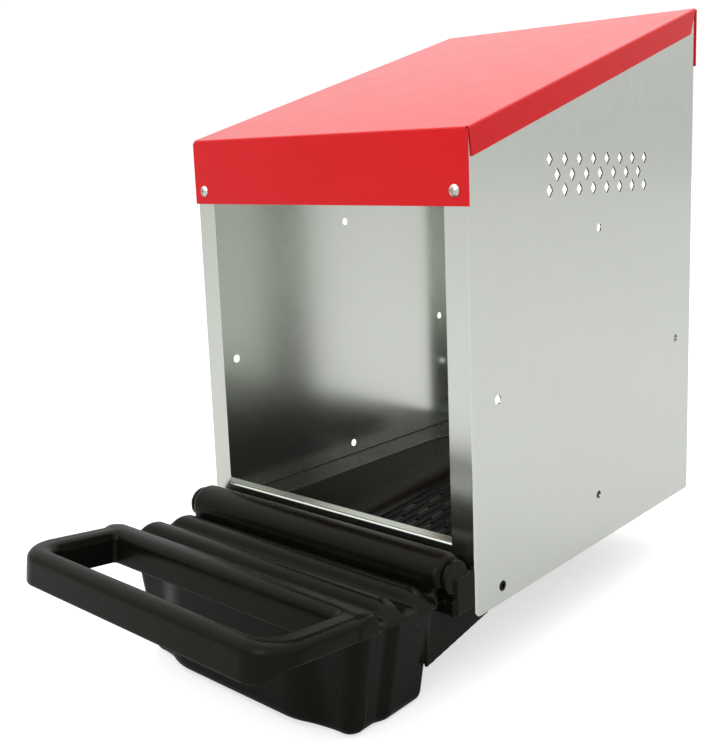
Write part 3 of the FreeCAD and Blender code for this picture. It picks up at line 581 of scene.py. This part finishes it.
def mat_field(x, y, z):
    """Ribbed nest mat with staggered drainage slots, lying on the sloping floor."""
    height = z - ramp_height(y) - MAT_GAP
    middle = (MAT_FRONT + MAT_REAR) / 2
    corner = np.where(y > middle, MAT_REAR_CORNER, MAT_FRONT_CORNER)
    plan = rounded(np.abs(x) - MAT_HALF, np.abs(y - middle) - (MAT_REAR - middle), corner)
    base = rounded(plan, span(height, 0.0, MAT_THICKNESS - RIB_RISE), MAT_EDGE)
    rib = np.maximum(plan + RIB_MARGIN, off_nearest(x, RIB_PITCH) - RIB_HALF)
    rib = rounded(rib, span(height, RIB_FOOT, MAT_THICKNESS), RIB_EDGE)
    shape = smooth_min(base, rib, RIB_FILLET)
    along = y - MAT_FRONT - SLOT_FIRST_Y
    row = np.floor(along / SLOT_PITCH_Y + 0.5)
    across = x + (row % 2) * SLOT_PITCH_X / 2
    slot = rounded(
        off_nearest(across, SLOT_PITCH_X) - SLOT_HALF_X,
        off_nearest(along, SLOT_PITCH_Y) - SLOT_HALF_Y,
        SLOT_HALF_X,
    )
    slot = np.maximum(slot, plan + SLOT_MARGIN)
    return smooth_max(shape, -slot, SLOT_EDGE)


def make_mat():
    """Detailed nest mat in place of the plain CAD one."""
    low = (-MAT_HALF, MAT_FRONT, ramp_height(MAT_FRONT))
    high = (MAT_HALF, MAT_REAR, ramp_height(MAT_REAR) + MAT_THICKNESS)
    mat = moulding("nest_mat_moulding", mat_field, low, high, MAT_PITCH, BOX_TO_ROW)
    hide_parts("nest_mat")
    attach(mat, "nest_box")
    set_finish(mat, "mat_plastic")
    return mat


# ---------------------------------------------------------------------------------------------
# Materials
# ---------------------------------------------------------------------------------------------
ZINC_DARK = (0.715, 0.745, 0.690)
ZINC_LIGHT = (0.735, 0.768, 0.710)
ZINC_DULL = (0.68, 0.705, 0.66)
RED_DEEP = (0.600, 0.003, 0.006)
RED_BRIGHT = (0.630, 0.004, 0.008)
RED_DUST = (0.62, 0.015, 0.02)
BLACK_DEEP = (0.0034, 0.0033, 0.0026)
BLACK_PALE = (0.0052, 0.0050, 0.0040)
BLACK_RUBBED = (0.013, 0.0125, 0.0110)
BLACK_DUST = (0.017, 0.0165, 0.0145)
BLACK_GLOSS_TINT = (1.0, 0.99, 0.80, 1.0)
MAT_DEEP = (0.003, 0.003, 0.0025)
MAT_PALE = (0.006, 0.006, 0.005)
# Clean colour, tarnished colour, least roughness and greatest roughness of each metal.
PLATED_METALS = {
    "zinc_plate": ((0.78, 0.76, 0.70), (0.55, 0.53, 0.47), 0.20, 0.34),
    "spring_steel": ((0.40, 0.40, 0.39), (0.25, 0.25, 0.24), 0.35, 0.5),
    "rivet_aluminium": ((0.74, 0.75, 0.75), (0.6, 0.6, 0.6), 0.28, 0.42),
}


class Nodes:
    """Short hand for building a material's node tree in object space.

    Most methods add one kind of node and return the socket that carries its result.
    """

    def __init__(self, name):
        self.material = bpy.data.materials.new(name)
        self.material.use_nodes = True
        self.tree = self.material.node_tree
        self.shader = self.tree.nodes["Principled BSDF"]
        self.place = self.tree.nodes.new("ShaderNodeTexCoord").outputs["Object"]

    def link(self, source, target):
        """Joins two sockets."""
        self.tree.links.new(source, target)

    def stretched(self, scale):
        """Object coordinates multiplied along each axis."""
        node = self.tree.nodes.new("ShaderNodeMapping")
        node.inputs["Scale"].default_value = scale
        self.link(self.place, node.inputs["Vector"])
        return node.outputs["Vector"]

    def noise(self, scale, detail=4.0, roughness=0.55, vector=None):
        """Smooth random grey; scale is in features per metre."""
        node = self.tree.nodes.new("ShaderNodeTexNoise")
        node.inputs["Scale"].default_value = scale
        node.inputs["Detail"].default_value = detail
        node.inputs["Roughness"].default_value = roughness
        self.link(vector or self.place, node.inputs["Vector"])
        return node.outputs["Fac"]

    def cells(self, scale, vector=None):
        """One random grey value for each Voronoi cell."""
        node = self.tree.nodes.new("ShaderNodeTexVoronoi")
        node.inputs["Scale"].default_value = scale
        self.link(vector or self.place, node.inputs["Vector"])
        split = self.tree.nodes.new("ShaderNodeSeparateColor")
        self.link(node.outputs["Color"], split.inputs["Color"])
        return split.outputs["Red"]

    def ranged(self, value, start, end, low=0.0, high=1.0):
        """Value carried from the range start to end to the range low to high, and clamped."""
        node = self.tree.nodes.new("ShaderNodeMapRange")
        node.clamp = True
        self.link(value, node.inputs["Value"])
        limits = {"From Min": start, "From Max": end, "To Min": low, "To Max": high}
        for socket, number in limits.items():
            node.inputs[socket].default_value = number
        return node.outputs["Result"]

    def maths(self, operation, a, b):
        """Sum or product of two numbers or sockets."""
        node = self.tree.nodes.new("ShaderNodeMath")
        node.operation = operation
        for socket, value in zip(node.inputs, (a, b)):
            if isinstance(value, (int, float)):
                socket.default_value = value
            else:
                self.link(value, socket)
        return node.outputs["Value"]

    def mixed(self, share, first, second):
        """Colour between two colours or colour sockets."""
        node = self.tree.nodes.new("ShaderNodeMix")
        node.data_type = "RGBA"
        self.link(share, node.inputs["Factor"])
        for socket, value in ((node.inputs["A"], first), (node.inputs["B"], second)):
            if isinstance(value, tuple):
                socket.default_value = value + (1.0,)
            else:
                self.link(value, socket)
        return node.outputs["Result"]

    def bump(self, height, strength, distance, below=None):
        """Surface relief from a height, on top of an earlier relief if there is one."""
        node = self.tree.nodes.new("ShaderNodeBump")
        node.inputs["Strength"].default_value = strength
        node.inputs["Distance"].default_value = distance
        self.link(height, node.inputs["Height"])
        if below:
            self.link(below, node.inputs["Normal"])
        return node.outputs["Normal"]

    def pointiness(self):
        """0.5 on flat faces, more on convex edges."""
        return self.tree.nodes.new("ShaderNodeNewGeometry").outputs["Pointiness"]

    def finish(self, colour, roughness, normal, **constants):
        """Links the three main sockets, sets plain numbers on others and returns the material."""
        self.link(colour, self.shader.inputs["Base Color"])
        self.link(roughness, self.shader.inputs["Roughness"])
        self.link(normal, self.shader.inputs["Normal"])
        for socket, value in constants.items():
            self.shader.inputs[socket.replace("_", " ")].default_value = value
        return self.material


def galvanised_steel():
    """Hot-dip sheet: small soft spangle, cloudy patches and a faint rolling grain."""
    n = Nodes("galvanised_steel")
    spangle = n.cells(scale=330.0)
    coarse = n.cells(scale=95.0, vector=n.stretched((1.0, 1.0, 0.8)))
    cloud = n.noise(scale=9.0, detail=3.0)
    grain = n.noise(scale=1.0, detail=5.0, roughness=0.6, vector=n.stretched((900.0, 900.0, 130.0)))
    fine = n.noise(scale=1500.0, detail=2.0)
    tone = n.maths("ADD", n.maths("MULTIPLY", spangle, 0.4), n.maths("MULTIPLY", coarse, 0.25))
    tone = n.maths("ADD", tone, n.maths("MULTIPLY", cloud, 0.35))
    colour = n.mixed(n.ranged(tone, 0.2, 0.8), ZINC_DARK, ZINC_LIGHT)
    dulled = n.ranged(n.noise(scale=26.0, detail=6.0, roughness=0.7), 0.58, 0.75, high=0.35)
    colour = n.mixed(dulled, colour, ZINC_DULL)
    rough = n.ranged(tone, 0.2, 0.8, low=0.20, high=0.22)
    rough = n.maths("ADD", rough, n.ranged(grain, 0.3, 0.7, low=-0.01, high=0.01))
    normal = n.bump(grain, strength=0.02, distance=0.0002)
    normal = n.bump(fine, strength=0.02, distance=0.0002, below=normal)
    normal = n.bump(cloud, strength=0.03, distance=0.003, below=normal)
    return n.finish(colour, rough, normal, Metallic=1.0)


def red_coating():
    """Coil-coated steel: even red with a slight orange peel and fine dust."""
    n = Nodes("red_coating")
    shade = n.ranged(n.noise(scale=14.0, detail=4.0), 0.3, 0.7)
    colour = n.mixed(shade, RED_DEEP, RED_BRIGHT)
    specks = n.ranged(n.noise(scale=1100.0, detail=2.0), 0.68, 0.78, high=0.5)
    colour = n.mixed(specks, colour, RED_DUST)
    rough = n.ranged(n.noise(scale=40.0, detail=5.0, roughness=0.65), 0.3, 0.7, low=0.16, high=0.24)
    normal = n.bump(n.noise(scale=420.0, detail=2.0), strength=0.03, distance=0.0004)
    return n.finish(colour, rough, normal, IOR=1.36)


def black_plastic():
    """Moulded polypropylene: satin black, finely grained, with rubbed corners and dust."""
    n = Nodes("black_plastic")
    edges = n.maths("MULTIPLY", n.ranged(n.pointiness(), 0.52, 0.60), 0.4)
    patches = n.noise(scale=22.0, detail=6.0, roughness=0.65)
    scuffs = n.noise(scale=1.0, detail=6.0, roughness=0.7, vector=n.stretched((60.0, 260.0, 260.0)))
    colour = n.mixed(n.ranged(patches, 0.35, 0.7), BLACK_DEEP, BLACK_PALE)
    colour = n.mixed(edges, colour, BLACK_RUBBED)
    colour = n.mixed(n.ranged(scuffs, 0.62, 0.8, high=0.35), colour, BLACK_DUST)
    rough = n.ranged(patches, 0.3, 0.7, low=0.24, high=0.32)
    rough = n.maths("ADD", rough, n.ranged(scuffs, 0.4, 0.75, low=-0.02, high=0.06))
    normal = n.bump(n.noise(scale=900.0, detail=3.0), strength=0.06, distance=0.0003)
    normal = n.bump(n.noise(scale=60.0, detail=2.0), strength=0.04, distance=0.0015, below=normal)
    return n.finish(colour, rough, normal, IOR=1.20, Specular_Tint=BLACK_GLOSS_TINT)


def mat_plastic():
    """The mat's softer, duller plastic."""
    n = Nodes("mat_plastic")
    patches = n.noise(scale=45.0, detail=5.0, roughness=0.6)
    colour = n.mixed(n.ranged(patches, 0.3, 0.7), MAT_DEEP, MAT_PALE)
    rough = n.ranged(patches, 0.3, 0.7, low=0.34, high=0.5)
    normal = n.bump(n.noise(scale=700.0, detail=3.0), strength=0.15, distance=0.0004)
    return n.finish(colour, rough, normal, IOR=1.15)


def plated_metal(name, light, dark, rough_low, rough_high):
    """Plated or bare small metal parts with fine machining grain and slight tarnish."""
    n = Nodes(name)
    tarnish = n.noise(scale=260.0, detail=5.0, roughness=0.6)
    grain = n.noise(scale=2600.0, detail=2.0)
    colour = n.mixed(n.ranged(tarnish, 0.35, 0.7), light, dark)
    rough = n.ranged(tarnish, 0.3, 0.7, low=rough_low, high=rough_high)
    return n.finish(colour, rough, n.bump(grain, strength=0.08, distance=0.0002), Metallic=1.0)


def make_materials():
    """One material for each of the record's slots."""
    materials = {
        "galvanised_steel": galvanised_steel(),
        "red_coating": red_coating(),
        "black_plastic": black_plastic(),
        "mat_plastic": mat_plastic(),
    }
    for name, look in PLATED_METALS.items():
        materials[name] = plated_metal(name, *look)
    return materials


def dress(materials, pieces):
    """Gives the carried-over CAD nodes and the new pieces their materials."""
    for part in frame["record"]["subparts"]:
        node = frame["nodes"][part["node"]]
        node.data.materials.clear()
        node.data.materials.append(materials[part["material_slot"]])
        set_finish(node, part["material_slot"])
    for piece in pieces:
        piece.data.materials.append(materials[piece["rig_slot"]])


# ---------------------------------------------------------------------------------------------
# Stage, light and camera
# ---------------------------------------------------------------------------------------------
CAMERA_PLACE = Vector((0.5645, -0.9211, 0.0865))
CAMERA_YAW = math.radians(38.35)
CAMERA_PITCH = math.radians(-9.28)
CAMERA_ROLL = math.radians(-1.34)
CAMERA_LENS = 46.96
CAMERA_SENSOR = 36.0
CAMERA_SHIFT = (-0.117, -0.067)
FLOOR_SIZE = 40.0
FLOOR_GLOW = 0.62
FLOOR_DARK = (0.53, 0.53, 0.53)
FLOOR_LIGHT = (0.55, 0.55, 0.55)
WORLD_HORIZON = 0.62
WORLD_ZENITH = 1.72
WORLD_BACKDROP = 1.05
WHITE = (1.0, 1.0, 1.0, 1.0)
# Name, place from the middle of the part, side and power of each square light.
LIGHTS = (
    ("overhead", (-0.3, 0.6, 2.6), 2.0, 12.0),
    ("front", (0.5, -2.4, 1.3), 1.4, 14.0),
)


def make_camera():
    """Camera low in front of the entrance and to its right."""
    data = bpy.data.cameras.new("camera")
    data.lens = CAMERA_LENS
    data.sensor_width = CAMERA_SENSOR
    data.shift_x, data.shift_y = CAMERA_SHIFT
    camera = bpy.data.objects.new("camera", data)
    camera.location = CAMERA_PLACE
    turn = Matrix.Rotation(CAMERA_YAW, 4, "Z") @ Matrix.Rotation(math.pi / 2 + CAMERA_PITCH, 4, "X")
    camera.rotation_euler = (turn @ Matrix.Rotation(CAMERA_ROLL, 4, "Z")).to_euler()
    bpy.context.scene.collection.objects.link(camera)
    bpy.context.scene.camera = camera


def make_floor():
    """Plain pale floor under the basin."""
    half = FLOOR_SIZE / 2
    level = cad_low.z
    mesh = bpy.data.meshes.new("floor")
    mesh.from_pydata(
        [(-half, -half, level), (half, -half, level), (half, half, level), (-half, half, level)],
        [], [(0, 1, 2, 3)],
    )
    floor = bpy.data.objects.new("floor", mesh)
    bpy.context.scene.collection.objects.link(floor)
    n = Nodes("floor")
    shade = n.noise(scale=3.0, detail=3.0)
    colour = n.mixed(n.ranged(shade, 0.3, 0.7), FLOOR_DARK, FLOOR_LIGHT)
    rough = n.ranged(shade, 0.3, 0.7, low=0.85, high=0.95)
    normal = n.bump(n.noise(scale=150.0), strength=0.02, distance=0.0005)
    n.finish(colour, rough, normal, Specular_IOR_Level=0.1)
    n.shader.inputs["Emission Color"].default_value = WHITE
    path = n.tree.nodes.new("ShaderNodeLightPath")
    glow = n.ranged(path.outputs["Is Camera Ray"], 0.0, 1.0, high=FLOOR_GLOW)
    n.link(glow, n.shader.inputs["Emission Strength"])
    mesh.materials.append(n.material)


def area_light(name, place, target, size, power):
    """Square soft light that faces a point."""
    data = bpy.data.lights.new(name, "AREA")
    data.size = size
    data.energy = power
    light = bpy.data.objects.new(name, data)
    light.location = place
    light.rotation_euler = (Vector(target) - Vector(place)).to_track_quat("-Z", "Y").to_euler()
    light.visible_camera = False
    bpy.context.scene.collection.objects.link(light)


def make_light():
    """Pale surroundings, brighter overhead, and the large soft lights."""
    world = bpy.data.worlds.new("studio")
    bpy.context.scene.world = world
    world.use_nodes = True
    tree = world.node_tree
    background = tree.nodes["Background"]
    background.inputs["Color"].default_value = WHITE
    place = tree.nodes.new("ShaderNodeTexCoord")
    split = tree.nodes.new("ShaderNodeSeparateXYZ")
    rise = tree.nodes.new("ShaderNodeMapRange")
    rise.interpolation_type = "SMOOTHSTEP"
    rise.inputs["To Min"].default_value = WORLD_HORIZON
    rise.inputs["To Max"].default_value = WORLD_ZENITH
    tree.links.new(place.outputs["Generated"], split.inputs["Vector"])
    tree.links.new(split.outputs["Z"], rise.inputs["Value"])
    tree.links.new(rise.outputs["Result"], background.inputs["Strength"])
    backdrop = tree.nodes.new("ShaderNodeBackground")
    backdrop.inputs["Color"].default_value = WHITE
    backdrop.inputs["Strength"].default_value = WORLD_BACKDROP
    path = tree.nodes.new("ShaderNodeLightPath")
    choose = tree.nodes.new("ShaderNodeMixShader")
    tree.links.new(path.outputs["Is Camera Ray"], choose.inputs["Fac"])
    tree.links.new(background.outputs["Background"], choose.inputs[1])
    tree.links.new(backdrop.outputs["Background"], choose.inputs[2])
    tree.links.new(choose.outputs["Shader"], tree.nodes["World Output"].inputs["Surface"])
    centre = (cad_low + cad_high) / 2
    for name, offset, size, power in LIGHTS:
        area_light(name, centre + Vector(offset), centre, size, power)


pieces = [make_cover(), make_tray(), make_mat()]
dress(make_materials(), pieces)
make_floor()
make_light()
make_camera()
bpy.context.scene.view_settings.view_transform = "Standard"
